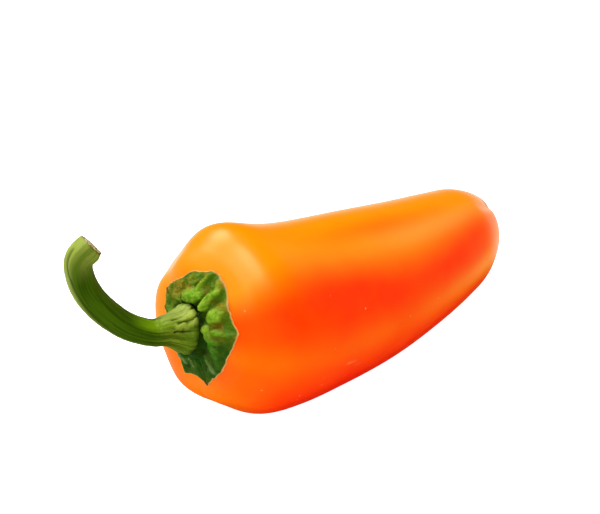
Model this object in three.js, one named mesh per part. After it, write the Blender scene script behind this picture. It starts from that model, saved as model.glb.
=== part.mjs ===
// A mild orange chilli pepper lying on its side: the pod, its green calyx and its hooked stem.
//
// Millimetres, +Z up. Every piece is first shaped in the pod's own frame, where x runs along the pod
// from the stem's seat (x = 0) to the blossom end. Angles about that axis are in degrees from the
// top (0), growing towards -Y (90). laid() then puts each point where the pepper comes to rest.
import * as THREE from 'three';

const { clamp, degToRad, euclideanModulo, lerp, radToDeg, smoothstep } = THREE.MathUtils;

// ---------------------------------------------------------------- driving dimensions: pod

const POD_LENGTH = 82;
const POD_BOW = { y: -3.65, z: -0.78 }; // how far the middle of the pod bows off its axis
const REST_PITCH = 6.7; // degrees the pod leans down towards its blossom end
const REST_FLAT = 0.9; // how far the skin is pressed in where the pod rests

// The pod's outline: distance along the pod, and radius there.
const POD_OUTLINE = [
  [0.6, 0], [0.3, 5], [-0.6, 9.5], [0.4, 14.15], [3.6, 16.75], [9, 19.55], [17, 19.75], [28, 18.7],
  [42, 17.15], [56, 14.95], [68, 12.85], [75.5, 11], [82, 7.05], [82.1, 3.45], [81.7, 0],
];
const SHOULDER_POINT = 5; // the outline's point where the shoulder turns into the body
const POD_RINGS = 42;
const POD_COLUMNS = 60;

// The furrows between the pod's chambers: where they run, their half width at the stem end and
// along the body (degrees), and how deep they are at either end (shares of the radius).
const FURROWS = [
  { angle: 307, narrow: 15, wide: 34, atStem: 0.068, atTip: 0.01 },
  { angle: 169, narrow: 6, wide: 34, atStem: 0.022, atTip: 0.003 },
  { angle: 22, narrow: 22, wide: 30, atStem: 0.046, atTip: 0.012 },
];
const FURROW_OPENS = 0.35; // the share of the length over which a furrow grows wide
const FURROW_SETBACK = 3; // how far a furrow of unit depth draws the shoulder back

// The shoulders that swell between the furrows.
const SWELLINGS = [
  { angle: 338, width: 55, x: 9, reach: 7.4, rise: 0.102 },
  { angle: 201, width: 17.5, x: 2.5, reach: 6.7, rise: 0.064 },
];

// ---------------------------------------------------------------- driving dimensions: stem

const GAP = 0.3; // between touching pieces
const STEM_HEADING = 20; // degrees that the hook is turned from the pod's axis towards +Y
const STEM_FOOT = new THREE.Vector3(-2.5, 0, 2.4); // the middle of the foot's underside

// The stalk's middle line: distance out along the heading, and height, both from the foot.
const STEM_PATH = [
  [0, 0], [5, 0.4], [9, 0.65], [14.4, 3.25], [19.3, 7.6], [22.3, 11.65], [24.1, 16], [24.3, 19.8],
  [21.8, 22.5],
];
const STEM_SWERVE = 1.2; // how far the foot sets the stalk over, against the heading's turn

// The stem's outline: share of the middle line's length, and radius there.
const STEM_OUTLINE = [
  [0, 5.4], [0.035, 5.2], [0.08, 4.3], [0.13, 3.4], [0.19, 2.87], [0.28, 2.7], [0.5, 2.85],
  [0.68, 2.88], [0.84, 2.82], [1, 3],
];
const FOOT_LENGTH = 8;
const FOOT_WRINKLES = 9;
const FOOT_WRINKLE_RISE = 0.06; // share of the radius
const STALK_RIDGES = 5;
const STALK_RIDGE_RISE = 0.04;
const CUT_HOLLOW = 0.4; // how deep the cut end is sunk
const STEM_RINGS = 34;
const STEM_COLUMNS = 27;

// ---------------------------------------------------------------- driving dimensions: calyx

const CALYX_CENTRE = { y: -1.2, z: 2.2 };
const CALYX_THICKNESS = 0.55; // at its edge
const CREASE_RADIUS = 5.9; // of the crease round the stem's foot
const CREASE_DEPTH = 0.9; // of the crease below the foot's underside
const BOSS_RADIUS = 5.2; // of the flat boss that carries the foot

// The calyx's toothed edge: angle and distance from its centre, tooth tips and notches in turn.
const CALYX_EDGE = [
  [4, 12.7], [22, 12.1], [45, 11.1], [58, 10.8], [75, 11.7], [84, 10.7], [105, 9.7], [137, 10.4],
  [152, 11.1], [163, 12.5], [171, 11.3], [182, 11.4], [195, 13.1], [205, 11.4], [215, 11.4],
  [225, 12.5], [240, 11], [262, 10.4], [276, 10.6], [290, 11.5], [321, 10.4], [340, 11.5],
];

// Its ribs, each from beside the foot out towards the edge: angle and distance at either end.
const CALYX_RIBS = [
  { from: [357, 8], to: [6, 13], width: 1.3, rise: 1.7 },
  { from: [20, 7.6], to: [17, 12.4], width: 1.1, rise: 1.7 },
  { from: [40, 7.8], to: [43, 11], width: 1.4, rise: 1.5 },
  { from: [74, 7.4], to: [74, 12], width: 1.2, rise: 1.1 },
  { from: [120, 6.8], to: [136, 10], width: 0.9, rise: 0.7 },
  { from: [160, 7.4], to: [165, 12.6], width: 0.8, rise: 0.8 },
  { from: [206, 8.4], to: [194, 12.6], width: 0.7, rise: 0.7 },
  { from: [238, 8.4], to: [227, 12.4], width: 0.9, rise: 0.8 },
  { from: [272, 8.2], to: [270, 10.4], width: 1.1, rise: 0.9 },
  { from: [318, 8], to: [294, 11], width: 1.1, rise: 1 },
];
const RIB_TAPER = 0.4; // what is left of a rib's rise at its outer end
const CALYX_RINGS = 8;
const CALYX_COLUMNS = 72;

// ---------------------------------------------------------------- helpers

function bell(distance, width) {
  return Math.exp(-((distance / width) ** 2));
}

// The shorter way round from one angle to another, in degrees.
function turn(from, to) {
  return euclideanModulo(to - from + 180, 360) - 180;
}

function sum(list, term) {
  return list.reduce((total, item) => total + term(item), 0);
}

// A smooth line through points [a, b], as a function of how far it is followed (0 to 1).
function smoothLine(points) {
  return new THREE.SplineCurve(points.map(([a, b]) => new THREE.Vector2(a, b)));
}

// The place in the plane across the pod's axis at an angle and distance from a centre.
function across(centre, angle, distance) {
  const a = degToRad(angle);
  return { y: centre.y - distance * Math.sin(a), z: centre.z + distance * Math.cos(a) };
}

function ring(columns, pointAt) {
  return Array.from({ length: columns }, (_, column) => pointAt((360 * column) / columns));
}

// One closed skin over rings of points, drawn together to a point before the first and after the
// last. Seen from the start, the points of a ring run clockwise.
function closedSkin(start, rings, end) {
  const columns = rings[0].length;
  const points = [start, ...rings.flat(), end];
  const last = points.length - 1;
  const faces = [];
  for (let column = 0; column < columns; column++) {
    const next = (column + 1) % columns;
    faces.push(0, 1 + next, 1 + column);
    for (let row = 0; row < rings.length - 1; row++) {
      const here = 1 + row * columns;
      const there = here + columns;
      faces.push(here + column, here + next, there + next);
      faces.push(here + column, there + next, there + column);
    }
    faces.push(last, last - columns + column, last - columns + next);
  }
  const geometry = new THREE.BufferGeometry().setFromPoints(points);
  geometry.setIndex(faces);
  geometry.computeVertexNormals();
  return geometry;
}

// ---------------------------------------------------------------- pod

const podOutline = smoothLine(POD_OUTLINE);

function furrowDepth(angle, along) {
  const opened = smoothstep(along, 0, FURROW_OPENS);
  return sum(FURROWS, (furrow) => {
    const depth = furrow.atStem * (1 - along) ** 1.5 + furrow.atTip * along;
    return depth * bell(turn(furrow.angle, angle), lerp(furrow.narrow, furrow.wide, opened));
  });
}

function swelling(angle, x) {
  return sum(SWELLINGS, ({ angle: middle, width, x: place, reach, rise }) =>
    rise * bell(turn(middle, angle), width) * bell(x - place, reach));
}

// A point of the pod's skin: how far its outline has been followed from the stem end (0 to 1), and
// the angle about the pod.
function podPoint(followed, angle) {
  const { x, y: radius } = podOutline.getPoint(followed);
  const along = clamp(x / POD_LENGTH, 0, 1);
  const relief = swelling(angle, x) - furrowDepth(angle, along);
  const setback = x < 14 ? FURROW_SETBACK * bell(radius - 13, 5) : 0;
  const bow = 4 * along * (1 - along);
  const middle = { y: POD_BOW.y * bow, z: POD_BOW.z * bow };
  const { y, z } = across(middle, angle, Math.max(radius, 0) * (1 + relief));
  return new THREE.Vector3(x - setback * relief, y, z);
}

function podNormal(followed, angle) {
  const step = 0.004;
  const along = podPoint(followed + step, angle).sub(podPoint(Math.max(followed - step, step), angle));
  const around = podPoint(followed, angle + 1).sub(podPoint(followed, angle - 1));
  return around.cross(along).normalize();
}

const podRings = Array.from({ length: POD_RINGS }, (_, row) =>
  ring(POD_COLUMNS, (angle) => podPoint((row + 1) / (POD_RINGS + 1), angle)));

// The pepper's place once it rests: leaned down to its tip, its lowest skin pressed flat on z = 0.
const leaned = new THREE.Matrix4().makeRotationY(degToRad(REST_PITCH));
const lowest = Math.min(...podRings.flat().map((point) => point.clone().applyMatrix4(leaned).z));

function laid(point) {
  const at = point.clone().applyMatrix4(leaned);
  at.z = Math.max(at.z - lowest - REST_FLAT, 0);
  return at;
}

function podGeometry() {
  const rings = podRings.map((row) => row.map(laid));
  return closedSkin(laid(podPoint(0, 0)), rings, laid(podPoint(1, 0)));
}

// ---------------------------------------------------------------- stem

const heading = new THREE.Vector3(-1, 0, 0).applyAxisAngle(
  new THREE.Vector3(0, 0, 1), -degToRad(STEM_HEADING));
const sideways = heading.clone().cross(new THREE.Vector3(0, 0, 1)).negate();
const stemPath = new THREE.CatmullRomCurve3(STEM_PATH.map(([out, up]) => {
  return STEM_FOOT.clone()
    .addScaledVector(heading, out)
    .addScaledVector(sideways, STEM_SWERVE * smoothstep(out, 0, FOOT_LENGTH))
    .add(new THREE.Vector3(0, 0, up));
}), false, 'catmullrom', 0.5);
const stemLength = stemPath.getLength();
const stemOutline = smoothLine(STEM_OUTLINE);

// The middle of the stem where it has been followed so far (0 to 1), and the ways along it, up and
// sideways.
function stemFrame(followed) {
  const along = stemPath.getTangentAt(followed);
  const up = along.clone().cross(sideways).normalize();
  const side = up.clone().cross(along);
  return { middle: stemPath.getPointAt(followed), along, up, side };
}

function stemPoint(frame, radius, angle) {
  const a = degToRad(angle);
  return frame.middle.clone()
    .addScaledVector(frame.up, radius * Math.cos(a))
    .addScaledVector(frame.side, radius * Math.sin(a));
}

function stemRelief(distance, angle) {
  const onStalk = smoothstep(distance, 0, FOOT_LENGTH);
  const wrinkles = FOOT_WRINKLE_RISE * Math.cos(degToRad(FOOT_WRINKLES * angle));
  const ridges = STALK_RIDGE_RISE * Math.cos(degToRad(STALK_RIDGES * angle));
  return lerp(wrinkles, ridges, onStalk);
}

function stemGeometry() {
  const foot = stemFrame(0);
  const lift = foot.along.clone().multiplyScalar(GAP);
  const rings = Array.from({ length: STEM_RINGS }, (_, row) => {
    const { x: followed, y: radius } = stemOutline.getPoint(1 - row / (STEM_RINGS - 1));
    const distance = followed * stemLength;
    const frame = stemFrame(followed);
    return ring(STEM_COLUMNS, (angle) =>
      stemPoint(frame, radius * (1 + stemRelief(distance, angle)), angle).add(lift));
  });
  const cut = stemFrame(1);
  const hollow = cut.middle.addScaledVector(cut.along, -CUT_HOLLOW).add(lift);
  const laidRings = rings.map((row) => row.map(laid));
  return closedSkin(laid(hollow), laidRings, laid(foot.middle.add(lift)));
}

// ---------------------------------------------------------------- calyx

// The skin of the pod's seat where it passes (y, z), raised by a height.
function aboveSeat({ y, z }, height) {
  const angle = radToDeg(Math.atan2(-y, z));
  const distance = Math.hypot(y, z);
  let near = 0;
  let far = SHOULDER_POINT / (POD_OUTLINE.length - 1);
  for (let halving = 0; halving < 20; halving++) {
    const middle = (near + far) / 2;
    const point = podPoint(middle, angle);
    if (Math.hypot(point.y, point.z) < distance) {
      near = middle;
    } else {
      far = middle;
    }
  }
  return podPoint(near, angle).addScaledVector(podNormal(near, angle), height);
}

// The distance from the calyx's centre to its edge.
function edgeDistance(angle) {
  const next = CALYX_EDGE.findIndex(([corner]) => corner > angle);
  const [toAngle, to] = CALYX_EDGE.at(Math.max(next, 0));
  const [fromAngle, from] = CALYX_EDGE.at(next > 0 ? next - 1 : -1);
  const between = euclideanModulo(angle - fromAngle, 360) / euclideanModulo(toAngle - fromAngle, 360);
  return lerp(from, to, between);
}

function ribHeight(place) {
  return sum(CALYX_RIBS, ({ from, to, width, rise }) => {
    const start = across(CALYX_CENTRE, ...from);
    const end = across(CALYX_CENTRE, ...to);
    const [dy, dz] = [end.y - start.y, end.z - start.z];
    const passed = (place.y - start.y) * dy + (place.z - start.z) * dz;
    const along = clamp(passed / (dy * dy + dz * dz), 0, 1);
    const off = Math.hypot(place.y - start.y - along * dy, place.z - start.z - along * dz);
    return rise * lerp(1, RIB_TAPER, along) * bell(off, width);
  });
}

// A place on the calyx, from the crease round the foot (0) out to the edge (1).
function calyxPlace(outward, angle) {
  const crease = across(STEM_FOOT, angle, CREASE_RADIUS);
  const edge = across(CALYX_CENTRE, angle, edgeDistance(angle));
  return { y: lerp(crease.y, edge.y, outward), z: lerp(crease.z, edge.z, outward) };
}

// How high the crease's floor stands off the pod, so that it stays level with the tilted foot.
function creaseHeight(angle) {
  const { y, z } = across(STEM_FOOT, angle, CREASE_RADIUS);
  const { along } = stemFrame(0);
  const lean = (along.y * (y - STEM_FOOT.y) + along.z * (z - STEM_FOOT.z)) / along.x;
  return aboveSeat({ y, z }, 0).x - (STEM_FOOT.x - lean) - CREASE_DEPTH;
}

function calyxGeometry() {
  const boss = stemFrame(0);
  const rings = [ring(CALYX_COLUMNS, (angle) => stemPoint(boss, BOSS_RADIUS, angle))];
  for (let row = 0; row < CALYX_RINGS; row++) {
    const outward = row / (CALYX_RINGS - 1);
    rings.push(ring(CALYX_COLUMNS, (angle) => {
      const floor = lerp(GAP + CALYX_THICKNESS, creaseHeight(angle), (1 - outward) ** 1.5);
      const place = calyxPlace(outward, angle);
      return aboveSeat(place, floor + ribHeight(place));
    }));
  }
  for (const outward of [1, 0.66, 0.33, 0]) {
    rings.push(ring(CALYX_COLUMNS, (angle) => aboveSeat(calyxPlace(outward, angle), GAP)));
  }
  rings.push(ring(CALYX_COLUMNS, (angle) => aboveSeat(across(STEM_FOOT, angle, 3), GAP)));
  const laidRings = rings.map((row) => row.map(laid));
  return closedSkin(laid(boss.middle), laidRings, laid(aboveSeat(STEM_FOOT, GAP)));
}

// ---------------------------------------------------------------- assembly

function piece(name, geometry, color, roughness) {
  const material = new THREE.MeshStandardMaterial({ color, roughness, metalness: 0 });
  const mesh = new THREE.Mesh(geometry, material);
  mesh.name = name;
  return mesh;
}

const chilli = new THREE.Group();
chilli.add(piece('pod', podGeometry(), 0xff7400, 0.25));
chilli.add(piece('calyx', calyxGeometry(), 0x3f7a1c, 0.5));
chilli.add(piece('stem', stemGeometry(), 0x5e8a1e, 0.45));

// The origin is under the middle of the whole pepper, on the surface that it lies on.
const middle = new THREE.Box3().setFromObject(chilli).getCenter(new THREE.Vector3());
chilli.position.set(-middle.x, -middle.y, 0);

export default chilli;
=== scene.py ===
"""The looks of a mild orange chilli pepper that lies on its side: its pod, calyx and hooked stem.

Shapes are worked out in millimetres in the pod's own frame, where x runs along the pod from the
stem's seat (x = 0) to the blossom end. Angles about that axis are in degrees from the top (0),
growing towards -Y (90). laid() turns a shape to where the pepper rests and brings it into the
frame, in metres.
"""

import math

import bpy
import numpy as np
from mathutils import Matrix, Vector, noise


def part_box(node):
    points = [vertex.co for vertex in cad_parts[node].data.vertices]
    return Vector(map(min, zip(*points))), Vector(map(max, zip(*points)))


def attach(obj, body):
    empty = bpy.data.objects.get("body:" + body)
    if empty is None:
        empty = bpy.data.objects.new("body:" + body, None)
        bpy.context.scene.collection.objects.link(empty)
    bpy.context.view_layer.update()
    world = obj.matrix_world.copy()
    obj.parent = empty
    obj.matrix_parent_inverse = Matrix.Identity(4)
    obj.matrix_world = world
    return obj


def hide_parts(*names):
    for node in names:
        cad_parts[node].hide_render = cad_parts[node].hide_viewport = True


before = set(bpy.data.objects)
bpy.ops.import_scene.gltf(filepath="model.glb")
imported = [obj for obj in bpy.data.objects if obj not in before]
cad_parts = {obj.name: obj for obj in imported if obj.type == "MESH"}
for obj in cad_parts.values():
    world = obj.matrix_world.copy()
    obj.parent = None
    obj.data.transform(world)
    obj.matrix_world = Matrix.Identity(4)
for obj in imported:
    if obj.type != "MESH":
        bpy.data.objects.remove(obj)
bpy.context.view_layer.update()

MM = 0.001

# ---------------------------------------------------------------- camera

VIEW_AZIMUTH = -42.5  # degrees
VIEW_ELEVATION = 34.3
VIEW_DISTANCE = 0.52
VIEW_AIM = Vector((-0.0004, 0.0019, -0.0035))  # from the middle of the pod's box
LENS = 145.1
FRAMING = (-0.0683, 0.0333)  # the picture is cropped with the pepper to the right of its middle


def direction(azimuth, elevation):
    """The way from the pepper to a place seen at these angles; azimuth 0 is in front, at -Y."""
    a, e = math.radians(azimuth), math.radians(elevation)
    return Vector((math.sin(a) * math.cos(e), -math.cos(a) * math.cos(e), math.sin(e)))


def make_camera():
    low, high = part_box("pod")
    aim = (Vector(low) + Vector(high)) / 2 + VIEW_AIM
    back = direction(VIEW_AZIMUTH, VIEW_ELEVATION)
    data = bpy.data.cameras.new("camera")
    data.lens = LENS
    data.shift_x, data.shift_y = FRAMING
    camera = bpy.data.objects.new("camera", data)
    camera.location = aim + back * VIEW_DISTANCE
    camera.rotation_euler = back.to_track_quat("Z", "Y").to_euler()
    bpy.context.scene.collection.objects.link(camera)
    bpy.context.scene.camera = camera


make_camera()

# ---------------------------------------------------------------- driving dimensions: pod

POD_LENGTH = 82
POD_BOW = (-3.65, -0.78)  # how far the middle of the pod bows off its axis, in y and z
REST_PITCH = 6.7  # degrees the pod leans down towards its blossom end
REST_FLAT = 0.9  # how far the skin is pressed in where the pod rests
REST_ROUNDING = 0.1  # of the rim of that flat

# The pod's outline: distance along the pod, and radius there.
POD_OUTLINE = [
    (0.6, 0), (0.3, 5), (-0.6, 9.5), (0.4, 14.15), (3.6, 16.75), (9, 19.55), (17, 19.75),
    (28, 18.7), (42, 17.15), (56, 14.95), (68, 12.85), (75.5, 11), (82, 7.05), (82.1, 3.45),
    (81.7, 0),
]
SHOULDER_POINT = 5  # the outline's point where the shoulder turns into the body
POD_RINGS = 260
POD_COLUMNS = 300

# The furrows between the pod's chambers: where they run, their half width at the stem end and
# along the body (degrees), and how deep they are at either end (shares of the radius).
FURROWS = [
    dict(angle=307, narrow=15, wide=34, at_stem=0.068, at_tip=0.01),
    dict(angle=169, narrow=6, wide=34, at_stem=0.022, at_tip=0.003),
    dict(angle=22, narrow=22, wide=30, at_stem=0.046, at_tip=0.012),
]
FURROW_OPENS = 0.35  # the share of the length over which a furrow grows wide
FURROW_FADE = 1.5  # how fast a furrow loses its depth at the stem end; 1 is evenly

# How far a furrow of unit depth draws the shoulder back: most at a radius, and only before an x.
SETBACK = dict(depth=3, radius=13, reach=5, before=14)

# The shoulders that swell between the furrows, and a dimple in the blossom end. Each has a middle
# and a half width round the pod (angle, width) and along it (at, reach), and a rise.
SWELLINGS = [
    dict(angle=338, width=55, at=9, reach=7.4, rise=0.102),
    dict(angle=201, width=17.5, at=2.5, reach=6.7, rise=0.064),
    dict(angle=27, width=9, at=80, reach=4.5, rise=-0.075),
]

# The skin's painted light and shade, from deep red orange (0) to light orange (1). The upper side
# is painted lit, down to angles on the side at -Y (near) and on the other (far), from where the
# painted light fades to painted shade. At the shoulder and in the middle it reaches further down
# the near side.
PAINTED_SHADING = dict(lower=0.1, upper=1.0, ends=0.6)
PAINTED_LIT_SIDE = dict(near=14, near_fade=38, far=40, far_fade=60)
PAINTED_LIT_SIDE_GROWS = [dict(at=2, reach=10, by=8), dict(at=48, reach=17, by=13)]
# A painted pool of light on the flank at -Y, that grows towards the blossom end.
PAINTED_LIT_FLANK = dict(angle=88, width=13, rises=(0.27, 0.72), grows=(40, 70))
# Painted shade that makes the underside redder.
PAINTED_SHADE_UNDERSIDE = dict(depth=0.1, fade=(105, 125))
END_BLEND = (1.5, 7)  # radii between which the painted shading of the ends blends into the rest

# Patches of painted light on the skin or, with a rise below 0, of painted shade that makes it
# redder.
EVERYWHERE = math.inf
PAINTED_LIGHT_PATCHES = [
    dict(angle=13, width=10, at=42, reach=19, rise=-0.36),  # painted shade in the saddle behind the shoulder
    dict(angle=265, width=40, at=0, reach=EVERYWHERE, rise=0.3),  # painted light on the far side
    dict(angle=82, width=26, at=80, reach=9, rise=0.7),  # a painted reflection beside the blossom end
    dict(angle=52, width=26, at=80, reach=6, rise=0.5),
    dict(angle=0, width=EVERYWHERE, at=1, reach=6, rise=0.12),  # painted light round the stem's seat
    dict(angle=165, width=55, at=1, reach=6, rise=0.6),
    dict(angle=275, width=50, at=1, reach=6, rise=0.7),
]
DULL_SEAT = dict(angle=15, width=40, fade=(2.2, 5))  # the part of the seat that has less gloss

# Where the blossom came off: a line from the middle of the pod's end (angle and distance from it)
# up over its rim.
SCAR = dict(path=[(10, 1), (9, 7.6)], widths=(1.1, 2.3), rises=(0.7, 1))
SCAR_START = (79.4, 80.7)  # where along the pod it starts to show, and shows fully
SCAR_HIGHLIGHT = dict(angle=14, width=14, at=79.4, reach=1.3, rise=1)  # a painted highlight on the skin beside it

# Pale scuffs low on the side at -Y: distance along the pod, and distance round it from its top.
SCUFF_DEGREE = 0.39  # the distance that one degree spans round the pod at the scuffs
SCUFFS = [
    dict(path=[(22.4, 39.2), (25.4, 39.6)], widths=(0.3, 0.2), rises=(1.0, 0.6)),
    dict(path=[(25.0, 41.0), (26.6, 41.0)], widths=(0.2, 0.2), rises=(0.4, 0.7)),
]

# ---------------------------------------------------------------- driving dimensions: stem

STEM_HEADING = 20  # degrees that the hook is turned from the pod's axis towards +Y
STEM_FOOT = (-2.5, -0.4, 2.1)  # the middle of the foot's underside

# The stalk's middle line: distance out along the heading, and height, both from the foot.
STEM_PATH = [
    (0, 0), (5, 0.7), (9, 0.95), (14.4, 3.55), (19.3, 7.9), (22.3, 11.95), (24.1, 16.3),
    (24.3, 20.1), (21.8, 22.8),
]
STEM_STEPS = 400  # in which its length is measured
STEM_SWERVE = 0.8  # how far the foot sets the stalk over, against the heading's turn

# The stem's outline: share of the middle line's length, and radius there.
STEM_OUTLINE = [
    (0, 4.2), (0.012, 4.85), (0.04, 4.8), (0.08, 4.0), (0.13, 3.4), (0.19, 2.87), (0.28, 2.7),
    (0.5, 2.85), (0.68, 2.88), (0.84, 2.82), (1, 3),
]
FOOT_LENGTH = 8
FOOT_START = (-0.3, 0.9)  # distances over which the foot's ridges begin
STALK_RIBS = dict(count=5, rise=0.09, turned=40)
STALK_FIBRES = dict(rise=0.06, size=0.5, radius=3, stretch=14)  # long thin grains
STEM_MOTTLE = dict(rise=0.04, crooked_rise=0.3, size=1.0)  # more of it where the foot is crooked
STEM_RINGS = 260
STEM_COLUMNS = 260

# The cut end: how deep its face is sunk, its slope away from the side at an angle with how far
# back the slope begins, its torn rim, and how the rim's corner swells or is rounded off. The
# swellings are like those of the pod, with distances back from the cut.
CUT_HOLLOW = 0.4
CUT_SLOPE = dict(rise=0.075, angle=125, back=5)
CUT_TORN = dict(coarse=0.16, fine=0.1, fade=(0.6, 1))
CUT_SWELLINGS = [
    dict(angle=75, width=26, at=1.1, reach=1.1, rise=0.4),  # a lip at the inner corner
    dict(angle=75, width=35, at=0, reach=0.45, rise=-0.3),
    dict(angle=30, width=45, at=0, reach=1.2, rise=-0.5),
    dict(angle=200, width=60, at=0, reach=0.5, rise=-0.25),
]
CUT_COLOUR = dict(back=0.4, least=0.4, angle=70, width=60)  # how far it shows on the stalk's side
CUT_SHARES = np.linspace(0.04, 0.97, 12)  # rings of the cut's face, as shares of its radius

# Lumps, ridges and creases of the stem's foot, and furrows of the stalk. Each follows a path of
# distances from the foot and angles about the stem, from its upper side (0) to the side at -Y
# (90), and has a half width and a rise at either end of the path.
STEM_RIDGES = [
    dict(path=[(5.2, 352), (2.6, 346), (1.5, 351), (0.8, 1)], widths=(0.7, 1.3), rises=(0.2, 0.6)),
    dict(path=[(3.4, 29), (2.2, 26), (1.1, 22)], widths=(0.8, 1.4), rises=(0.5, 0.75)),
    dict(path=[(4.5, 56), (4.0, 52), (3.4, 49)], widths=(0.65, 0.7), rises=(0.85, 0.7)),
    dict(path=[(3.2, 54), (1.8, 49), (0.6, 40)], widths=(0.4, 0.75), rises=(0.45, 0.65)),
    dict(path=[(5.7, 33), (4.9, 42)], widths=(0.6, 0.55), rises=(0.3, 0.4)),
    dict(path=[(5.0, 72), (3.4, 77), (2.4, 90), (1.1, 86)], widths=(0.22, 0.4), rises=(0.1, 0.3)),
    dict(path=[(4.4, 97), (2.0, 103), (0.7, 98)], widths=(0.22, 0.4), rises=(0.1, 0.3)),
    dict(path=[(3.6, 110), (1.8, 115), (0.4, 109)], widths=(0.25, 0.4), rises=(0.12, 0.3)),
    dict(path=[(5.5, 122), (3.3, 132), (1.3, 131)], widths=(0.25, 0.5), rises=(0.12, 0.3)),
    dict(path=[(5.5, 142), (0.4, 150)], widths=(0.4, 0.7), rises=(0.15, 0.4)),
    dict(path=[(4.4, 168), (0.4, 176)], widths=(0.5, 0.9), rises=(0.2, 0.5)),
    dict(path=[(6.0, 200), (0.4, 205)], widths=(0.4, 0.8), rises=(0.2, 0.45)),
    dict(path=[(4.2, 232), (0.3, 238)], widths=(0.6, 0.9), rises=(0.25, 0.6)),
    dict(path=[(6.2, 262), (2.8, 266)], widths=(0.5, 0.7), rises=(0.2, 0.45)),
    dict(path=[(3.6, 290), (0.4, 287)], widths=(0.6, 0.8), rises=(0.3, 0.6)),
    dict(path=[(4.6, 320), (2.2, 321), (0.4, 322)], widths=(0.5, 0.8), rises=(0.15, 0.5)),
]
STEM_FURROWS = [
    dict(path=[(0.5, 8), (2.4, 14), (3.8, 22), (5.2, 22)], widths=(0.24, 0.2), rises=(0.35, 0.2)),
    dict(path=[(4.2, 38), (2.7, 39), (1.3, 34), (0.3, 30)], widths=(0.22, 0.26), rises=(0.2, 0.35)),
    dict(path=[(5.0, 67), (3.1, 65), (2.0, 64)], widths=(0.26, 0.24), rises=(0.35, 0.15)),
    dict(path=[(36, 172), (34, 161), (32, 143), (28.3, 134), (25, 124), (19, 118)],
         widths=(0.5, 0.3), rises=(0.3, 0.1)),
    dict(path=[(15, 64), (10.3, 63), (5, 69)], widths=(0.35, 0.25), rises=(0.04, 0.15)),
    dict(path=[(12, 92), (6.5, 91), (3.3, 93)], widths=(0.3, 0.25), rises=(0.04, 0.15)),
    dict(path=[(30, 300), (12, 290)], widths=(0.4, 0.4), rises=(0.15, 0.1)),
]
STEM_CROOKEDNESS = dict(by=0.32, size=1.3, fade=(6, 12))  # how far those ridges wander

# ---------------------------------------------------------------- driving dimensions: calyx

CALYX_CENTRE = (-1.2, 2.2)
CALYX_THICKNESS = 0.28  # at its edge
CREASE_RADIUS = 5.0  # of the crease round the stem's foot
CREASE_DEPTH = 0.4  # of the crease below the foot's underside
CREASE_CURVE = 1.5  # how fast the calyx falls away from the crease; 1 is evenly
BOSS_RADIUS = 4.5  # of the flat boss that carries the foot
CALYX_SUNK = 0.1  # how deep its underside lies in the pod's skin
CALYX_THINNEST = 0.6  # of its thickness, in its hollows
CALYX_LIP = dict(bulge=0.012, sunk=0.05, steps=6)  # how its edge rolls down to the skin
CALYX_UNDERSIDE = np.linspace(0.98, 0, 8)  # rings, as shares of the way out to the edge

# The calyx's toothed edge: angle and distance from its centre, tooth tips and notches in turn.
CALYX_EDGE = [
    (3, 12.9), (10, 12.9), (19, 12.5), (29, 11.9), (43, 11.1), (53, 10.9), (62, 11.1), (72, 11.8),
    (83, 10.7), (93, 10.2), (107, 9.6), (125, 10.1), (138, 10.5), (151, 11.1), (163, 12.6),
    (167, 11.8), (177, 11.4), (186, 11.9), (194, 13), (205, 11.4), (216, 11.4), (223, 12.3),
    (240, 11), (263, 10.4), (278, 10.9), (290, 11.8), (305, 11), (325, 10.7), (339, 11.7),
    (352, 12.1),
]
EDGE_WAVER = 0.1  # how far the edge wanders in and out
CALYX_RINGS = 64
CALYX_COLUMNS = 540

# Ridges and lumps of the calyx. Each follows a path of angles and distances from its centre, and
# has a half width and a rise at either end of the path. The veins are pale, the scorched points
# dark brown.
CALYX_RIDGES = [
    dict(path=[(324, 6.9), (338, 7.0), (351, 7.4)], widths=(1.1, 1.5), rises=(1.1, 1.7)),
    dict(path=[(351, 7.5), (5, 8.3)], widths=(1.4, 1.0), rises=(1.7, 1.3)),
    dict(path=[(0, 9.2), (1, 10.3), (3, 11.6), (5, 12.7)], widths=(0.8, 0.5), rises=(1.2, 0.5)),
    dict(path=[(344, 10.0), (350, 10.3)], widths=(1.2, 1.1), rises=(0.6, 0.5)),
    dict(path=[(297, 8.3), (307, 7.1)], widths=(0.7, 0.8), rises=(0.5, 0.8)),
    dict(path=[(326, 10.2), (321, 8.9)], widths=(0.35, 0.5), rises=(0.25, 0.4)),
    dict(path=[(15, 12.3), (18, 11.8), (22, 10.9), (21, 9.7), (20, 8.3), (20, 7.2)],
         widths=(0.5, 1.15), rises=(0.5, 1.8)),
    dict(path=[(42, 10.6), (44, 9.2), (45, 7.9)], widths=(0.9, 1.6), rises=(0.6, 1.6)),
    dict(path=[(59, 5.6), (71, 6.1), (84, 6.2)], widths=(1.1, 0.9), rises=(1.2, 0.9)),
    dict(path=[(68, 7.7), (71, 8.7), (73, 10.1), (73, 11.6)], widths=(0.95, 0.5), rises=(1.2, 0.4)),
    dict(path=[(86, 6.8), (105, 7.2), (118, 8.1), (127, 9.3)], widths=(1.0, 0.9), rises=(1.0, 0.5)),
    dict(path=[(134, 6.7), (133, 8.2), (135, 10.1)], widths=(0.5, 0.35), rises=(0.6, 0.3)),
    dict(path=[(170, 7.9), (173, 9.8), (166, 11.2)], widths=(0.7, 0.4), rises=(0.6, 0.3)),
    dict(path=[(149, 9.1), (155, 10.6), (161, 12)], widths=(0.6, 0.35), rises=(0.5, 0.3)),
    dict(path=[(238, 8.4), (227, 12.0)], widths=(1.0, 0.6), rises=(0.8, 0.4)),
    dict(path=[(272, 8.2), (270, 10.2)], widths=(1.0, 0.6), rises=(0.9, 0.4)),
]
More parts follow.
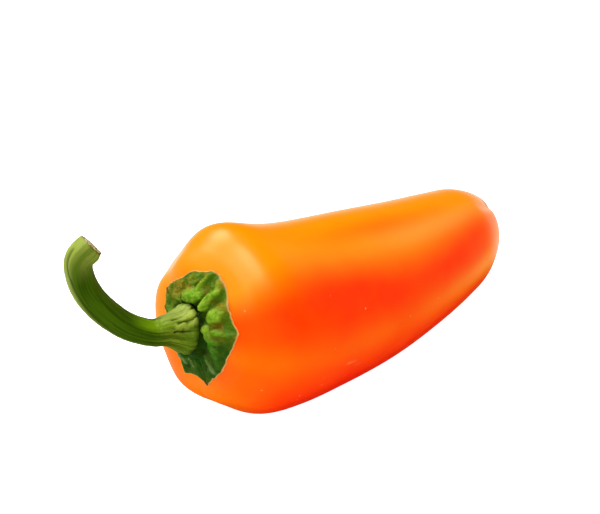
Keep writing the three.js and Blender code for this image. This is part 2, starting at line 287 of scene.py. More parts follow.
CALYX_HOLLOWS = [
    dict(path=[(8, 10.6), (6, 12.0)], widths=(0.8, 0.5), rises=(0.2, 0.1)),
    dict(path=[(27, 9.2), (31, 10.0)], widths=(0.6, 0.7), rises=(0.4, 0.2)),
    dict(path=[(57, 7.9), (56, 9.4)], widths=(0.9, 0.7), rises=(0.5, 0.3)),
    dict(path=[(94, 7.3), (92, 8.6)], widths=(0.7, 0.6), rises=(0.4, 0.2)),
    dict(path=[(128, 5.4), (140, 5.8)], widths=(1.0, 0.8), rises=(0.5, 0.4)),
    dict(path=[(150, 8.0), (153, 8.6)], widths=(0.5, 0.5), rises=(0.35, 0.3)),
    dict(path=[(164, 8.2), (162, 10.1), (161, 11.9)], widths=(0.35, 0.3), rises=(0.4, 0.2)),
    dict(path=[(199, 9.1), (201, 8.4)], widths=(0.45, 0.45), rises=(0.5, 0.4)),
    dict(path=[(193, 10.4), (191, 11.0)], widths=(0.5, 0.4), rises=(0.4, 0.2)),
    dict(path=[(346, 10.1), (348, 10.2)], widths=(0.45, 0.45), rises=(0.25, 0.25)),
    dict(path=[(288, 11.2), (284, 9.4), (287, 8.4)], widths=(0.25, 0.3), rises=(0.15, 0.25)),
]
CALYX_VEINS = [
    dict(path=[(213, 10.7), (205, 10.6), (195, 10.4)], widths=(0.2, 0.25), rises=(0.7, 0.5)),
    dict(path=[(190, 8.5), (181, 9.6)], widths=(0.22, 0.22), rises=(0.7, 0.5)),
    dict(path=[(143, 7.4), (143, 8.4), (141, 9.6)], widths=(0.4, 0.65), rises=(0.35, 0.5)),
]
CALYX_SCORCHED = [
    dict(path=[(163, 12.6), (163, 12.2)], widths=(0.9, 0.5), rises=(1.0, 0.8)),
    dict(path=[(290, 11.8), (287, 10.8)], widths=(0.3, 0.2), rises=(1.0, 0.6)),
]
CALYX_CROOKEDNESS = dict(by=0.3, size=1.8)  # how far its ridges wander
CALYX_WRINKLES = dict(rise=0.21, size=1.0, fine=0.7, fine_size=0.4, fade=0.12)
CALYX_SHADED = dict(angle=155, fade=(50, 100))  # its side painted darker as shade, that faces down and to -Y
CALYX_RIM = (0.03, 0.2)  # distances from its edge between which the pale rim ends
RIDGE_STEEPNESS = 3.2  # of the sides of the calyx's and the foot's ridges; 2 is a gentle bell

# ---------------------------------------------------------------- helpers: numbers


def bell(distance, width):
    return np.exp(-((distance / width) ** 2))


def turn(start, end):
    """The shorter way round from one angle to another, in degrees."""
    return (end - start + 180) % 360 - 180


def lerp(start, end, share):
    return start + (end - start) * share


def smoothstep(value, low, high):
    t = np.clip((value - low) / (high - low), 0, 1)
    return t * t * (3 - 2 * t)


def unit(vectors):
    return vectors / np.linalg.norm(vectors, axis=-1, keepdims=True)


def smooth_line(points, followed, open_ended=False):
    """Places on a smooth line through points, followed from 0 to 1."""
    p = np.asarray(points, float)
    before, after = (2 * p[0] - p[1], 2 * p[-1] - p[-2]) if open_ended else (p[0], p[-1])
    p = np.vstack([before, p, after])
    spans = len(p) - 3
    at = np.clip(np.asarray(followed, float), 0, 1) * spans
    i = np.minimum(at.astype(int), spans - 1)
    w = (at - i)[..., None]
    p0, p1, p2, p3 = p[i], p[i + 1], p[i + 2], p[i + 3]
    v0, v1 = (p2 - p0) / 2, (p3 - p1) / 2
    return ((2 * p1 - 2 * p2 + v0 + v1) * w + (3 * p2 - 3 * p1 - 2 * v0 - v1)) * w * w + v0 * w + p1


def ridge(u, v, path, widths, rises, steepness=2):
    """The height over places (u, v) of a rounded ridge along a path of such places."""
    spans = len(path) - 1
    height = 0
    for i, ((u0, v0), (u1, v1)) in enumerate(zip(path, path[1:])):
        du, dv = u1 - u0, v1 - v0
        passed = np.clip(((u - u0) * du + (v - v0) * dv) / (du * du + dv * dv), 0, 1)
        off = np.hypot(u - u0 - passed * du, v - v0 - passed * dv)
        share = (i + passed) / spans
        profile = np.exp(-((off / lerp(*widths, share)) ** steepness))
        height = np.maximum(height, lerp(*rises, share) * profile)
    return height


def merged(heights, sharpness=6):
    """Heights run together: about the highest of them, with soft valleys between."""
    return sum(height**sharpness for height in heights) ** (1 / sharpness)


def swelling(features, at, angle):
    """The rise at places along and round a part of soft swellings."""
    return sum(
        f["rise"] * bell(turn(f["angle"], angle), f["width"]) * bell(at - f["at"], f["reach"])
        for f in features
    )


def across(centre, angle, distance):
    """The place (y, z), in the plane across the pod, at an angle and distance from a centre."""
    a = np.radians(angle)
    return centre[0] - distance * np.sin(a), centre[1] + distance * np.cos(a)


def angles(columns):
    return np.arange(columns) * (360 / columns)


def grain(points, size, octaves=3):
    """Even noise of about -1 to 1 over points, with grains of about this size."""
    flat = np.asarray(points, float).reshape(-1, 3) / size
    falloff, lacunarity = 1.0, 2.0
    values = [noise.fractal(Vector(p), falloff, lacunarity, octaves) for p in flat]
    return np.array(values).reshape(np.shape(points)[:-1])


# ---------------------------------------------------------------- the pod's shape


def furrow_depth(angle, along):
    opened = smoothstep(along, 0, FURROW_OPENS)
    depth = 0
    for f in FURROWS:
        share = f["at_stem"] * (1 - along) ** FURROW_FADE + f["at_tip"] * along
        depth = depth + share * bell(turn(f["angle"], angle), lerp(f["narrow"], f["wide"], opened))
    return depth


def pod_point(followed, angle):
    """Points of the pod's skin, from how far its outline is followed (0 to 1) and the angle."""
    followed, angle = np.broadcast_arrays(np.asarray(followed, float), np.asarray(angle, float))
    x, radius = np.moveaxis(smooth_line(POD_OUTLINE, followed), -1, 0)
    radius = np.maximum(radius, 0)
    along = np.clip(x / POD_LENGTH, 0, 1)
    relief = swelling(SWELLINGS, x, angle) - furrow_depth(angle, along)
    setback = SETBACK["depth"] * bell(radius - SETBACK["radius"], SETBACK["reach"])
    setback = np.where(x < SETBACK["before"], setback, 0)
    bow = 4 * along * (1 - along)
    y, z = across((POD_BOW[0] * bow, POD_BOW[1] * bow), angle, radius * (1 + relief))
    return np.stack([x - setback * relief, y, z], -1)


def pod_normal(followed, angle, step=0.004):
    before = np.maximum(followed - step, step)
    along = pod_point(followed + step, angle) - pod_point(before, angle)
    around = pod_point(followed, angle + 1) - pod_point(followed, angle - 1)
    return unit(np.cross(around, along))


# ---------------------------------------------------------------- at rest

LEANED = np.array(Matrix.Rotation(math.radians(REST_PITCH), 3, "Y"))
pod_rows = (np.arange(POD_RINGS)[:, None] + 1) / (POD_RINGS + 1)
pod_rings = pod_point(pod_rows, angles(POD_COLUMNS))
lowest = (pod_rings @ LEANED.T)[..., 2].min()


def settled(points):
    """Points leaned down to the pod's tip, with the lowest skin pressed flat on z = 0."""
    at = np.asarray(points, float) @ LEANED.T
    z = at[..., 2] - lowest - REST_FLAT
    at[..., 2] = (z + np.sqrt(z * z + REST_ROUNDING**2)) / 2
    return at


def box_middle(points):
    flat = points.reshape(-1, 3)
    return (flat.min(0) + flat.max(0)) / 2


# The pod's solid says where the pepper lies in the frame.
cad_middle = np.mean([list(corner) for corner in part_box("pod")], axis=0)
offset = (cad_middle - box_middle(settled(pod_rings)) * MM) * (1, 1, 0)


def laid(points):
    return settled(points) * MM + offset


# ---------------------------------------------------------------- the stem's shape

UP = np.array([0, 0, 1])
turned = math.radians(STEM_HEADING)
heading = np.array([-math.cos(turned), math.sin(turned), 0])
sideways = -np.cross(heading, UP)


def stem_path_points():
    out, up = np.transpose(STEM_PATH)
    swerve = STEM_SWERVE * smoothstep(out, 0, FOOT_LENGTH)
    return (
        np.array(STEM_FOOT)
        + out[:, None] * heading
        + swerve[:, None] * sideways
        + up[:, None] * UP
    )


stem_followed = np.linspace(0, 1, STEM_STEPS + 1)
stem_line = smooth_line(stem_path_points(), stem_followed, open_ended=True)
stem_distances = np.r_[0, np.cumsum(np.linalg.norm(np.diff(stem_line, axis=0), axis=1))]
stem_length = stem_distances[-1]


def stem_frame(followed, step=0.001):
    """The stem's middle where it is followed so far, and the ways along it, up and sideways."""
    t = np.interp(np.asarray(followed) * stem_length, stem_distances, stem_followed)
    points = stem_path_points()
    middle = smooth_line(points, t, open_ended=True)
    ahead = smooth_line(points, np.minimum(t + step, 1), open_ended=True)
    behind = smooth_line(points, np.maximum(t - step, 0), open_ended=True)
    along = unit(ahead - behind)
    up = unit(np.cross(along, sideways))
    return middle, along, up, np.cross(up, along)


def stem_point(followed, radius, angle):
    middle, _, up, side = stem_frame(followed)
    a = np.radians(angle)[..., None]
    return middle + np.asarray(radius)[..., None] * (up * np.cos(a) + side * np.sin(a))


# ---------------------------------------------------------------- the calyx's shape


def above_seat(y, z, height, halvings=20):
    """The skin of the pod's seat where it passes (y, z), raised by a height."""
    y, z, height = np.broadcast_arrays(y, z, height)
    angle = np.degrees(np.arctan2(-y, z))
    distance = np.hypot(y, z)
    near = np.zeros_like(distance)
    far = np.full_like(distance, SHOULDER_POINT / (len(POD_OUTLINE) - 1))
    for _ in range(halvings):
        middle = (near + far) / 2
        point = pod_point(middle, angle)
        short = np.hypot(point[..., 1], point[..., 2]) < distance
        near, far = np.where(short, middle, near), np.where(short, far, middle)
    return pod_point(near, angle) + pod_normal(near, angle) * height[..., None]


def edge_distance(angle):
    corners, distances = np.transpose(CALYX_EDGE)
    a = np.radians(angle)
    waver = np.sin(a * 13 + 2 * np.sin(a * 5)) + np.sin(a * 31 + 3 * np.sin(a * 7))
    return np.interp(angle, corners, distances, period=360) + EDGE_WAVER * waver / 2


def calyx_place(outward, angle):
    """A place (y, z) on the calyx, from the crease round the foot (0) out to the edge (1)."""
    crease_y, crease_z = across(STEM_FOOT[1:], angle, CREASE_RADIUS)
    edge_y, edge_z = across(CALYX_CENTRE, angle, edge_distance(angle))
    return lerp(crease_y, edge_y, outward), lerp(crease_z, edge_z, outward)


def crease_height(angle):
    """How high the crease's floor stands off the pod, so that it is level with the tilted foot."""
    y, z = across(STEM_FOOT[1:], angle, CREASE_RADIUS)
    along = stem_frame(0)[1]
    lean = (along[1] * (y - STEM_FOOT[1]) + along[2] * (z - STEM_FOOT[2])) / along[0]
    return above_seat(y, z, 0)[..., 0] - (STEM_FOOT[0] - lean) - CREASE_DEPTH


def calyx_floor(outward, angle):
    """How high the calyx stands off the pod between its ridges."""
    return lerp(CALYX_THICKNESS, crease_height(angle), (1 - outward) ** CREASE_CURVE)


def on_calyx(features, y, z, steepness=2):
    """The heights at places of the calyx of ridges given by angle and distance from its centre."""
    heights = []
    for f in features:
        path = [across(CALYX_CENTRE, *place) for place in f["path"]]
        heights.append(ridge(y, z, path, f["widths"], f["rises"], steepness))
    return heights


def on_stem(features, distance, angle, radius, steepness=2):
    """The heights at places of the stem of ridges given by distance from its foot and angle."""
    heights = []
    for f in features:
        middle = f["path"][len(f["path"]) // 2][1]
        path = [(d, np.radians(turn(middle, a)) * radius) for d, a in f["path"]]
        round_it = np.radians(turn(middle, angle)) * radius
        heights.append(ridge(distance, round_it, path, f["widths"], f["rises"], steepness))
    return heights


# ---------------------------------------------------------------- meshes


def skin(name, start, rings, end, marks):
    """One closed skin over rings of points, drawn together to a point before and after them.

    marks are named values of the points, in rings like theirs.
    """
    rows, columns = rings.shape[:2]
    points = np.vstack([start, rings.reshape(-1, 3), end])
    at = 1 + np.arange(rows * columns).reshape(rows, columns)
    beside = np.roll(at, -1, axis=1)
    quads = np.stack([at[:-1], beside[:-1], beside[1:], at[1:]], -1).reshape(-1, 4)
    first = np.stack([np.zeros(columns, int), beside[0], at[0]], -1)
    last = np.stack([np.full(columns, len(points) - 1), at[-1], beside[-1]], -1)
    mesh = bpy.data.meshes.new(name)
    mesh.from_pydata(points.tolist(), [], first.tolist() + quads.tolist() + last.tolist())
    mesh.shade_smooth()
    for mark, values in marks.items():
        values = np.broadcast_to(values, (rows, columns))
        full = np.r_[values[0].mean(), values.ravel(), values[-1].mean()].astype(np.float32)
        mesh.attributes.new(mark, "FLOAT", "POINT").data.foreach_set("value", full)
    piece = bpy.data.objects.new(name, mesh)
    bpy.context.scene.collection.objects.link(piece)
    return piece


def pod_painted_shading(x, radius, angle):
    """How far painted light and shade take the skin's colour from deep red orange (0) to light
    orange (1).
    """
    down = turn(0, angle)  # how far round from the top; above 0 it is the side at -Y
    near, far = PAINTED_LIT_SIDE["near"], PAINTED_LIT_SIDE["far"]
    near = near + sum(g["by"] * bell(x - g["at"], g["reach"]) for g in PAINTED_LIT_SIDE_GROWS)
    near_side = 1 - smoothstep(down, near, near + PAINTED_LIT_SIDE["near_fade"])
    far_side = 1 - smoothstep(-down, far, far + PAINTED_LIT_SIDE["far_fade"])
    painted_flank_light = lerp(*PAINTED_LIT_FLANK["rises"], smoothstep(x, *PAINTED_LIT_FLANK["grows"]))
    painted_flank_light = painted_flank_light * bell(turn(PAINTED_LIT_FLANK["angle"], angle), PAINTED_LIT_FLANK["width"])
    # Painted shade that makes the underside redder.
    under = PAINTED_SHADE_UNDERSIDE["depth"] * smoothstep(np.abs(down), *PAINTED_SHADE_UNDERSIDE["fade"])
    painted_shading = lerp(PAINTED_SHADING["lower"], PAINTED_SHADING["upper"], near_side * far_side)
    painted_shading = np.clip(painted_shading + swelling(PAINTED_LIGHT_PATCHES, x, angle) + painted_flank_light - under, 0, 1)
    return lerp(PAINTED_SHADING["ends"], painted_shading, smoothstep(radius, *END_BLEND))


def make_pod():
    x, radius = np.moveaxis(smooth_line(POD_OUTLINE, pod_rows), -1, 0)
    first, last = laid(pod_point(0, 0)), laid(pod_point(1, 0))
    angle = angles(POD_COLUMNS)
    middle = (0, 0)
    scar_path = [across(middle, *place) for place in SCAR["path"]]
    scar = ridge(*across(middle, angle, radius), scar_path, SCAR["widths"], SCAR["rises"])
    seat_side = bell(turn(DULL_SEAT["angle"], angle), DULL_SEAT["width"])
    round_it = turn(0, angle) * SCUFF_DEGREE
    marks = dict(
        # The skin's painted light and shade.
        painted_shading=pod_painted_shading(x, radius, angle),
        scar=scar * smoothstep(x, *SCAR_START),
        scar_highlight=swelling([SCAR_HIGHLIGHT], x, angle),
        dull=(1 - smoothstep(x, *DULL_SEAT["fade"])) * seat_side,
        scuff=sum(ridge(x, round_it, s["path"], s["widths"], s["rises"]) for s in SCUFFS),
    )
    return skin("pod_skin", first, laid(pod_rings), last, marks)


def make_calyx():
    angle = angles(CALYX_COLUMNS)
    outward = np.linspace(0, 1, CALYX_RINGS)[:, None]
    y, z = calyx_place(outward, angle)
    flat, swapped = np.stack([y, z, 0 * y], -1), np.stack([z, y, 0 * y], -1)
    by, size = CALYX_CROOKEDNESS["by"], CALYX_CROOKEDNESS["size"]
    astray_y = y + by * grain(flat, size)
    astray_z = z + by * grain(flat + (0, 0, 9), size)
    ridges = merged(on_calyx(CALYX_RIDGES, astray_y, astray_z, RIDGE_STEEPNESS))
    hollows = sum(on_calyx(CALYX_HOLLOWS, astray_y, astray_z))
    veins = sum(on_calyx(CALYX_VEINS, y, z))

    w = CALYX_WRINKLES
    wrinkles = grain(flat, w["size"]) + w["fine"] * grain(swapped, w["fine_size"])
    wrinkles = w["rise"] * wrinkles * smoothstep(1 - outward, 0, w["fade"])
    height = calyx_floor(outward, angle) + ridges - hollows + veins + wrinkles
    height = np.maximum(height, CALYX_THICKNESS * CALYX_THINNEST)
    top = above_seat(y, z, height)
    boss = stem_point(np.zeros(CALYX_COLUMNS), np.full(CALYX_COLUMNS, BOSS_RADIUS), angle)

    def below(outward, height):
        return above_seat(*calyx_place(outward, angle), height)

    roll = []
    for step in range(1, CALYX_LIP["steps"]):
        a = math.pi * step / CALYX_LIP["steps"]
        sunk = height[-1] * (1 + math.cos(a)) / 2 - CALYX_LIP["sunk"]
        roll.append(below(1 + CALYX_LIP["bulge"] * math.sin(a), sunk))
    under = [below(share, -CALYX_SUNK) for share in CALYX_UNDERSIDE]
    rings = np.concatenate([[boss], top, roll, under])

    def spread(values, inner=0, outer=0):
        """Values of the top's rings, carried on over the boss and round the edge."""
        values = np.broadcast_to(values, top.shape[:2])
        before = np.broadcast_to(inner, (1, CALYX_COLUMNS))
        after = np.broadcast_to(outer, (len(roll) + len(under), CALYX_COLUMNS))
        return np.concatenate([before, values, after])

    edge_y, edge_z = calyx_place(1, angle)
    to_edge = np.hypot(y - edge_y, z - edge_z)
    off_shade = np.abs(turn(CALYX_SHADED["angle"], angle))
    marks = dict(
        rise=spread(ridges),
        hollow=spread(hollows),
        rim=spread(1 - smoothstep(to_edge, *CALYX_RIM), outer=1),
        vein=spread(veins),
        outward=spread(outward, outer=1),
        shaded=spread(1 - smoothstep(off_shade, *CALYX_SHADED["fade"])),
        scorched=spread(sum(on_calyx(CALYX_SCORCHED, y, z))),
    )
    first, last = np.array(STEM_FOOT), above_seat(*STEM_FOOT[1:], -CALYX_SUNK)
    return skin("calyx_leaf", laid(first), laid(rings), laid(last), marks)


def stem_relief(angle, distance, radius):
    """How far the stem stands out from its outline, and the heights of its ridges and furrows."""
    a = np.radians(angle)
    in_turn = np.cos(a), np.sin(a)
    round_axis = np.stack(np.broadcast_arrays(*(c * radius for c in in_turn), distance), -1)
    by, size = STEM_CROOKEDNESS["by"], STEM_CROOKEDNESS["size"]
    crooked = by * (1 - smoothstep(distance, *STEM_CROOKEDNESS["fade"]))
    astray = distance + crooked * grain(round_axis, size)
    astray_angle = angle + np.degrees(crooked / radius) * grain(round_axis + 9, size)
    begun = smoothstep(distance, *FOOT_START)
    ridges = begun * merged(on_stem(STEM_RIDGES, astray, astray_angle, radius, RIDGE_STEEPNESS))
    furrows = begun * sum(on_stem(STEM_FURROWS, astray, astray_angle, radius))

    ribs = np.cos(np.radians(STALK_RIBS["count"] * angle + STALK_RIBS["turned"]))
    ribs = STALK_RIBS["rise"] * smoothstep(distance, 0, FOOT_LENGTH) * ribs
    f = STALK_FIBRES
    drawn_out = [c * f["radius"] for c in in_turn] + [distance / f["stretch"]]
    fibres = f["rise"] * grain(np.stack(np.broadcast_arrays(*drawn_out), -1), f["size"])
    mottle = STEM_MOTTLE["rise"] + STEM_MOTTLE["crooked_rise"] * crooked
    mottle = mottle * grain(round_axis, STEM_MOTTLE["size"])
    swollen = swelling(CUT_SWELLINGS, stem_length - distance, angle)
    return ridges - furrows + ribs + fibres + mottle + swollen, ridges, furrows


def cut_rings(angle, rim, slope, along):
    """The rings of the cut's sunk face, from its middle out to the ragged rim."""
    a = np.radians(angle)
    ragged = CUT_TORN["coarse"] * np.sin(a * 9 + 1) * np.sin(a * 4)
    ragged = ragged + CUT_TORN["fine"] * np.sin(a * 23)
    rings = []
    for share in CUT_SHARES:
        torn = ragged * smoothstep(share, *CUT_TORN["fade"])
        sunk = CUT_HOLLOW * (1 - share**3) - torn - slope * share
        ring = stem_point(np.ones(STEM_COLUMNS), rim * share, angle)
        rings.append(ring - sunk[:, None] * along)
    return rings


def make_stem():
    angle = angles(STEM_COLUMNS)
    outline = smooth_line(STEM_OUTLINE, np.linspace(1, 0, STEM_RINGS))
    followed, radius = outline[:, :1], outline[:, 1:]
    distance = followed * stem_length
    to_cut = stem_length - distance
    relief, ridges, furrows = stem_relief(angle, distance, radius)
    grown = radius + relief

    end, along, _, _ = stem_frame(1)
    slope = CUT_SLOPE["rise"] * grown * np.cos(np.radians(turn(CUT_SLOPE["angle"], angle)))
    sheared = slope * (1 - smoothstep(to_cut, 0, CUT_SLOPE["back"]))
    side = stem_point(np.broadcast_to(followed, grown.shape), grown, angle)
    side = side + sheared[..., None] * along
    cut = cut_rings(angle, grown[0], slope[0], along)
    rings = np.concatenate([cut, side])

    def spread(values, on_cut):
        """Values of the side's rings, with others before them for the cut's face."""
        on_cut = np.broadcast_to(on_cut, (len(cut), STEM_COLUMNS))
        return np.concatenate([on_cut, np.broadcast_to(values, grown.shape)])

    c = CUT_COLOUR
    cut_side = lerp(c["least"], 1, bell(turn(c["angle"], angle), c["width"]))
    marks = dict(
        rise=spread(ridges - furrows * 2, 0),
        distance=spread(distance, stem_length),
        around=spread(angle, angle),
        cut=spread((1 - smoothstep(to_cut, 0, c["back"])) * cut_side, 1),
        torn=spread(1, CUT_SHARES[:, None]),
    )
    first, last = end - CUT_HOLLOW * along, np.array(STEM_FOOT)
    return skin("stem_hook", laid(first), laid(rings), laid(last), marks)


# ---------------------------------------------------------------- materials

# Linear colours of the pod's skin, from its reddest, in painted shade, to its lightest, in painted
# light, and of its pale specks.
PAINTED_SHADE_ORANGE = (1.0, 0.018, 0.0, 1)
PAINTED_LIT_ORANGE = (1.0, 0.24, 0.0, 1)
PALE_ORANGE = (1.0, 0.38, 0.12, 1)

# The tints of the highlights.
SKIN_TINT = (1.0, 0.95, 0.6, 1)
LEAF_TINT = (1.0, 1.0, 0.6, 1)


def rgb(text):
    """A colour from its sRGB hex text, linear as the shaders want it."""
    channels = [int(text[i : i + 2], 16) / 255 for i in (0, 2, 4)]
    linear = [c / 12.92 if c <= 0.04045 else ((c + 0.055) / 1.055) ** 2.4 for c in channels]
    return (*linear, 1)


class Nodes:
    """The node tree of a material, or of the world, built up one node at a time."""

    def __init__(self, name, world=None):
        self.material = world or bpy.data.materials.new(name)
        self.material.use_nodes = True
        self.tree = self.material.node_tree
        self.shader = self.tree.nodes["Background" if world else "Principled BSDF"]

    def add(self, kind, settings=None, **inputs):
        """A new node; inputs are numbers, colours or other nodes' outputs."""
        node = self.tree.nodes.new(kind)
        for key, value in (settings or {}).items():
            setattr(node, key, value)
        for key, value in inputs.items():
            self.put(node.inputs[key.replace("_", " ")], value)
        return node

    def put(self, socket, value):
        if isinstance(value, bpy.types.NodeSocket):
            self.tree.links.new(value, socket)
        else:
            socket.default_value = value

    def mark(self, name):
        return self.add("ShaderNodeAttribute", dict(attribute_name=name)).outputs["Fac"]

    def noise(self, scale, detail=3.0):
        where = self.add("ShaderNodeTexCoord").outputs["Object"]
        node = self.add("ShaderNodeTexNoise", Vector=where, Scale=scale, Detail=detail)
        return node.outputs["Fac"]

    def mapped(self, value, low, high, to_low=0.0, to_high=1.0):
        """A value that goes smoothly from to_low to to_high as another goes from low to high."""
        settings = dict(interpolation_type="SMOOTHSTEP")
        ranges = dict(From_Min=low, From_Max=high, To_Min=to_low, To_Max=to_high)
        return self.add("ShaderNodeMapRange", settings, Value=value, **ranges).outputs["Result"]

    def math(self, operation, *values):
        node = self.add("ShaderNodeMath", dict(operation=operation))
        for socket, value in zip(node.inputs, values):
            self.put(socket, value)
        return node.outputs["Value"]

    def times(self, first, second):
        return self.math("MULTIPLY", first, second)

    def mix(self, share, first, second):
        """A colour between two colours."""
        node = self.add("ShaderNodeMix", dict(data_type="RGBA"))
        for socket, value in zip((node.inputs[0], *node.inputs[6:8]), (share, first, second)):
            self.put(socket, value)
        return node.outputs[2]

    def blend(self, share, first, second):
        """A number between two numbers."""
        node = self.add("ShaderNodeMix")
        for socket, value in zip((node.inputs[0], *node.inputs[2:4]), (share, first, second)):
            self.put(socket, value)
        return node.outputs[0]

    def bump(self, height, strength, distance):
        node = self.add("ShaderNodeBump", Height=height, Strength=strength, Distance=distance)
        return node.outputs["Normal"]

    def finish(self, **inputs):
        for key, value in inputs.items():
            self.put(self.shader.inputs[key.replace("_", " ")], value)
        return self.material


def skin_material():
    n = Nodes("pod_skin")
    # The skin's painted light and shade, with a random mottle, run its colour between two oranges.
    mottled = n.math("ADD", n.mark("painted_shading"), n.mapped(n.noise(90.0), 0.3, 0.7, -0.04, 0.04))
    colour = n.mix(mottled, PAINTED_SHADE_ORANGE, PAINTED_LIT_ORANGE)

    # Specks are the middles of a few of the cells.
    where = n.add("ShaderNodeTexCoord").outputs["Object"]
    cells = n.add("ShaderNodeTexVoronoi", Vector=where, Scale=400.0).outputs
    chosen = n.add("ShaderNodeSeparateColor", Color=cells["Color"]).outputs[0]
    middles = n.mapped(cells["Distance"], 0.05, 0.13, 1.0, 0.0)
    specks = n.times(n.mapped(chosen, 0.86, 0.9), middles)
    pale = n.math("MAXIMUM", n.times(specks, 0.5), n.times(n.mark("scuff"), 0.4))
    colour = n.mix(pale, colour, PALE_ORANGE)

    # A painted highlight beside the blossom scar.
    colour = n.mix(n.times(n.mark("scar_highlight"), 0.5), colour, rgb("ffb48c"))
    colour = n.mix(n.mark("scar"), colour, rgb("6a5a10"))
    return n.finish(
        Base_Color=colour,
        Roughness=n.mapped(n.mark("dull"), 0.0, 1.0, 0.3, 0.75),
        Specular_IOR_Level=0.04,
        Specular_Tint=SKIN_TINT,
        Normal=n.bump(n.noise(260.0, 2.0), 0.05, 0.0004),
    )


def calyx_material():
    n = Nodes("calyx_leaf")
    rise, outward, shaded = n.mark("rise"), n.mark("outward"), n.mark("shaded")
    raised = n.mapped(rise, 0.3, 1.25)
    blotch = n.noise(330.0, 4.0)
    fine = n.mapped(n.noise(900.0, 3.0), 0.35, 0.65)

    # The upper side and the side painted darker as shade each have greens for their valleys and for
    # the ridges between them.
    valley = n.mix(n.mapped(blotch, 0.42, 0.66), rgb("46680a"), rgb("7e7416"))
    painted_lit_green = n.mix(raised, valley, n.mix(fine, rgb("58880c"), rgb("84a42a")))
    valley = n.mix(n.mapped(blotch, 0.4, 0.62), rgb("1c4808"), rgb("3c5410"))
    painted_shade_green = n.mix(raised, valley, n.mix(fine, rgb("32760c"), rgb("5a8826")))
    green = n.mix(shaded, painted_lit_green, painted_shade_green)

    # Painted shade in the hollows.
    sunk = n.mix(shaded, rgb("5c5008"), rgb("1c2404"))
    green = n.mix(n.mapped(n.mark("hollow"), 0.1, 0.5, 0.0, 0.8), green, sunk)
    # Painted shade in the crease round the foot and in the low pocket beside it.
    crease_shade = n.mapped(outward, 0.0, 0.16, 0.8, 0.0)
    green = n.mix(crease_shade, green, rgb("1c3604"))
    pocket_shade = n.times(n.mapped(outward, 0.1, 0.5, 0.75, 0.0), n.mapped(rise, 0.2, 0.9, 1.0, 0.0))
    green = n.mix(pocket_shade, green, rgb("1c3604"))
    green = n.mix(n.mark("vein"), green, rgb("86a25c"))
    colour = n.mix(n.mark("rim"), green, rgb("cc9c54"))
    colour = n.mix(n.mark("scorched"), colour, rgb("1c1206"))
    wrinkled = n.math("ADD", n.noise(900.0, 4.0), n.times(blotch, 0.5))
    return n.finish(
        Base_Color=colour,
        Roughness=0.5,
        Specular_IOR_Level=0.03,
        Specular_Tint=LEAF_TINT,
        Normal=n.bump(wrinkled, 0.7, 0.0005),
    )


def stem_material():
    n = Nodes("stem_hook")
    around, distance, rise = n.mark("around"), n.mark("distance"), n.mark("rise")
    where = n.add("ShaderNodeCombineXYZ", X=around, Y=n.times(distance, 0.6)).outputs[0]
    streaks = n.add("ShaderNodeTexNoise", Vector=where, Scale=0.12, Detail=4.0).outputs["Fac"]

    # The stalk is dark, with painted light on the outside of its hook and on its upper side next to
    # the foot.
    stalk = n.mix(n.mapped(streaks, 0.35, 0.65), rgb("2a4200"), rgb("3e5c02"))
    outer = n.times(n.mapped(around, 122.0, 165.0), n.mapped(around, 215.0, 250.0, 1.0, 0.0))
    stalk = n.mix(outer, stalk, rgb("84943c"))
    near = n.mapped(distance, 8.0, 17.0, 1.0, 0.0)
    upper = n.mapped(around, 40.0, 70.0, 1.0, 0.0)
    stalk = n.mix(n.times(near, upper), stalk, rgb("688a06"))

    # The foot is lined and has pale knuckles, with painted shade below and a painted highlight on
    # its crown.
    lined = n.mix(n.mapped(streaks, 0.42, 0.58), rgb("465a08"), rgb("7e8c20"))
    foot = n.mix(n.mapped(rise, 0.0, 0.75), lined, rgb("92a238"))
    low = n.times(n.mapped(distance, 1.5, 7.0, 1.0, 0.0), n.mapped(around, 22.0, 75.0))
    foot = n.mix(n.times(low, 0.65), foot, rgb("44640a"))
    on_top = n.mapped(around, 5.0, 35.0, 1.0, 0.0)
    on_top = n.math("MAXIMUM", n.mapped(around, 300.0, 335.0), on_top)
    crown_highlight = n.times(on_top, n.mapped(distance, 0.8, 2.2))
    foot = n.mix(n.times(crown_highlight, 0.45), foot, rgb("b4c25c"))

    green = n.mix(n.mapped(distance, 3.0, 10.0, 1.0, 0.0), stalk, foot)
    # Painted shade in the furrows of the foot.
    crease_shade = n.mapped(rise, -0.5, -0.08, 0.85, 0.0)
    green = n.mix(crease_shade, green, rgb("1c2c04"))
    # Painted shade where the foot sinks into the calyx.
    shade_by_calyx = n.mapped(distance, 0.1, 2.0, 0.85, 0.0)
    green = n.mix(shade_by_calyx, green, rgb("203a04"))
    by_cut = n.times(n.mapped(distance, 30.0, 40.0), n.mapped(streaks, 0.35, 0.6, 0.8, 0.35))
    green = n.mix(by_cut, green, rgb("8b9838"))

    fibre = n.mix(n.mapped(n.noise(1500.0, 3.0), 0.4, 0.6), rgb("d0c694"), rgb("8c7440"))
    torn_rim = n.mapped(n.mark("torn"), 0.82, 1.0)
    fibre = n.mix(torn_rim, fibre, rgb("5c3c10"))
    return n.finish(
        Base_Color=n.mix(n.mark("cut"), green, fibre),
        Roughness=0.5,
        Specular_IOR_Level=0.03,
        Specular_Tint=LEAF_TINT,
        Normal=n.bump(n.noise(800.0, 3.0), 0.3, 0.0003),
    )


# ---------------------------------------------------------------- floor, light

FLOOR_SIZE = 6
FLOOR_GREY = (0.75, 0.75, 0.75, 1)
FLOOR_GLOW = 0.95  # the floor is a light table, so shadows on it stay faint
WHITE = (1, 1, 1, 1)
WORLD_LIGHT = 0.06
WORLD_GLINT = (0.02, 1.9)  # the world's brightness in reflections, in front and low behind
PANEL_DISTANCE = 0.9

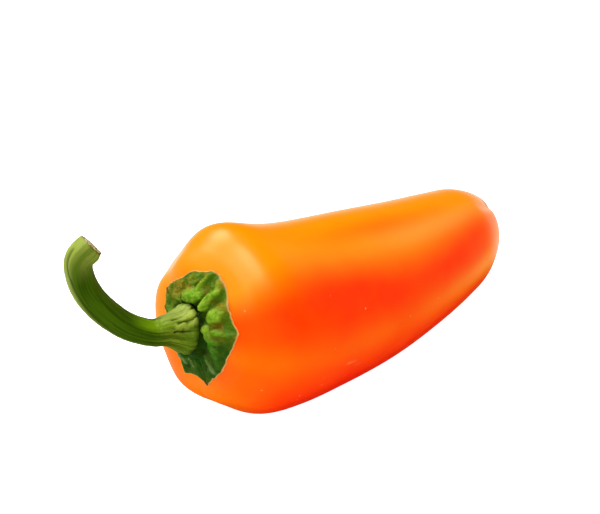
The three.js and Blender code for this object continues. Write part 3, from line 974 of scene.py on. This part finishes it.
# The lights, as azimuth, elevation, size and power. The soft ones give the even light and no
# highlights, and the glints give the pod its highlights and no light.
SOFT_PANELS = dict(
    overhead=(180, 72, (0.6, 0.8), 9.0),
    front_fill=(-30, 12, (1.4, 1.0), 7.5),
    side_fill=(75, 12, (1.4, 1.0), 6.0),
    left_fill=(-125, 25, (1.4, 1.0), 7.5),
)
GLINT_PANELS = dict(
    shoulder_back=(-176, 42, (0.46, 0.35), 19.0),
    shoulder_middle=(-150, 60, (0.44, 0.4), 9.5),
    shoulder_top=(-98, 73, (0.44, 0.42), 38.0),
    crest=(93, 26, (0.33, 0.18), 0.95),
)


def make_floor():
    bpy.ops.mesh.primitive_plane_add(size=FLOOR_SIZE)
    floor = bpy.context.object
    floor.name = "floor"
    floor.visible_glossy = False
    n = Nodes("floor")
    seen = n.add("ShaderNodeLightPath").outputs["Is Camera Ray"]
    floor.data.materials.append(
        n.finish(
            Base_Color=FLOOR_GREY,
            Roughness=0.9,
            Specular_IOR_Level=0.1,
            Emission_Color=WHITE,
            Emission_Strength=n.times(seen, FLOOR_GLOW),
        )
    )


def make_panel(name, azimuth, elevation, size, power, only_gloss=False):
    """A soft light that faces the pepper; with only_gloss it is seen in highlights alone."""
    data = bpy.data.lights.new(name, "AREA")
    data.shape = "ELLIPSE" if only_gloss else "RECTANGLE"
    data.size, data.size_y = size
    data.energy = power
    panel = bpy.data.objects.new(name, data)
    back = direction(azimuth, elevation)
    panel.location = back * PANEL_DISTANCE
    panel.rotation_euler = back.to_track_quat("Z", "Y").to_euler()
    panel.visible_camera = False
    panel.visible_diffuse = not only_gloss
    panel.visible_glossy = only_gloss
    bpy.context.scene.collection.objects.link(panel)


def make_world():
    """A white room; its reflections are dark in front and bright low behind the pepper."""
    world = bpy.data.worlds.new("studio")
    bpy.context.scene.world = world
    n = Nodes("studio_world", world)
    where = n.add("ShaderNodeTexCoord").outputs["Generated"]
    way = n.add("ShaderNodeSeparateXYZ", Vector=where).outputs
    x, y, z = way["X"], way["Y"], way["Z"]

    # The bright band starts further behind the higher it is. It begins below at heights that
    # change towards the blossom end, where it also reaches a little higher before it fades.
    back = n.math("MULTIPLY_ADD", n.math("MAXIMUM", z, 0.0), -1.2, y)
    behind = n.mapped(back, -0.55, 0.05)
    begins = n.mapped(x, 0.2, 0.5, -0.85, -0.62)
    full = n.mapped(x, 0.2, 0.5, -0.5, -0.54)
    lowered = n.math("SUBTRACT", z, n.mapped(x, 0.75, 0.95, 0.0, 0.15))
    level = n.times(n.mapped(z, begins, full), n.mapped(lowered, -0.37, 0.1, 1.0, 0.0))
    glint = n.mapped(n.times(behind, level), 0.0, 1.0, *WORLD_GLINT)
    rays = n.add("ShaderNodeLightPath").outputs
    lit = n.blend(rays["Is Glossy Ray"], WORLD_LIGHT, glint)
    n.finish(Color=WHITE, Strength=n.blend(rays["Is Camera Ray"], lit, 1.0))


def make_lights():
    make_world()
    for name, panel in SOFT_PANELS.items():
        make_panel(name, *panel)
    for name, panel in GLINT_PANELS.items():
        make_panel(name, *panel, only_gloss=True)


# ---------------------------------------------------------------- the pepper

pod = make_pod()
calyx = make_calyx()
stem = make_stem()
for piece, node, slot, material in (
    (pod, "pod", "skin", skin_material()),
    (calyx, "calyx", "calyx", calyx_material()),
    (stem, "stem", "stem", stem_material()),
):
    piece.data.materials.append(material)
    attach(piece, "root")
    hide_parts(node)

make_floor()
make_lights()
bpy.context.scene.view_settings.view_transform = "Standard"
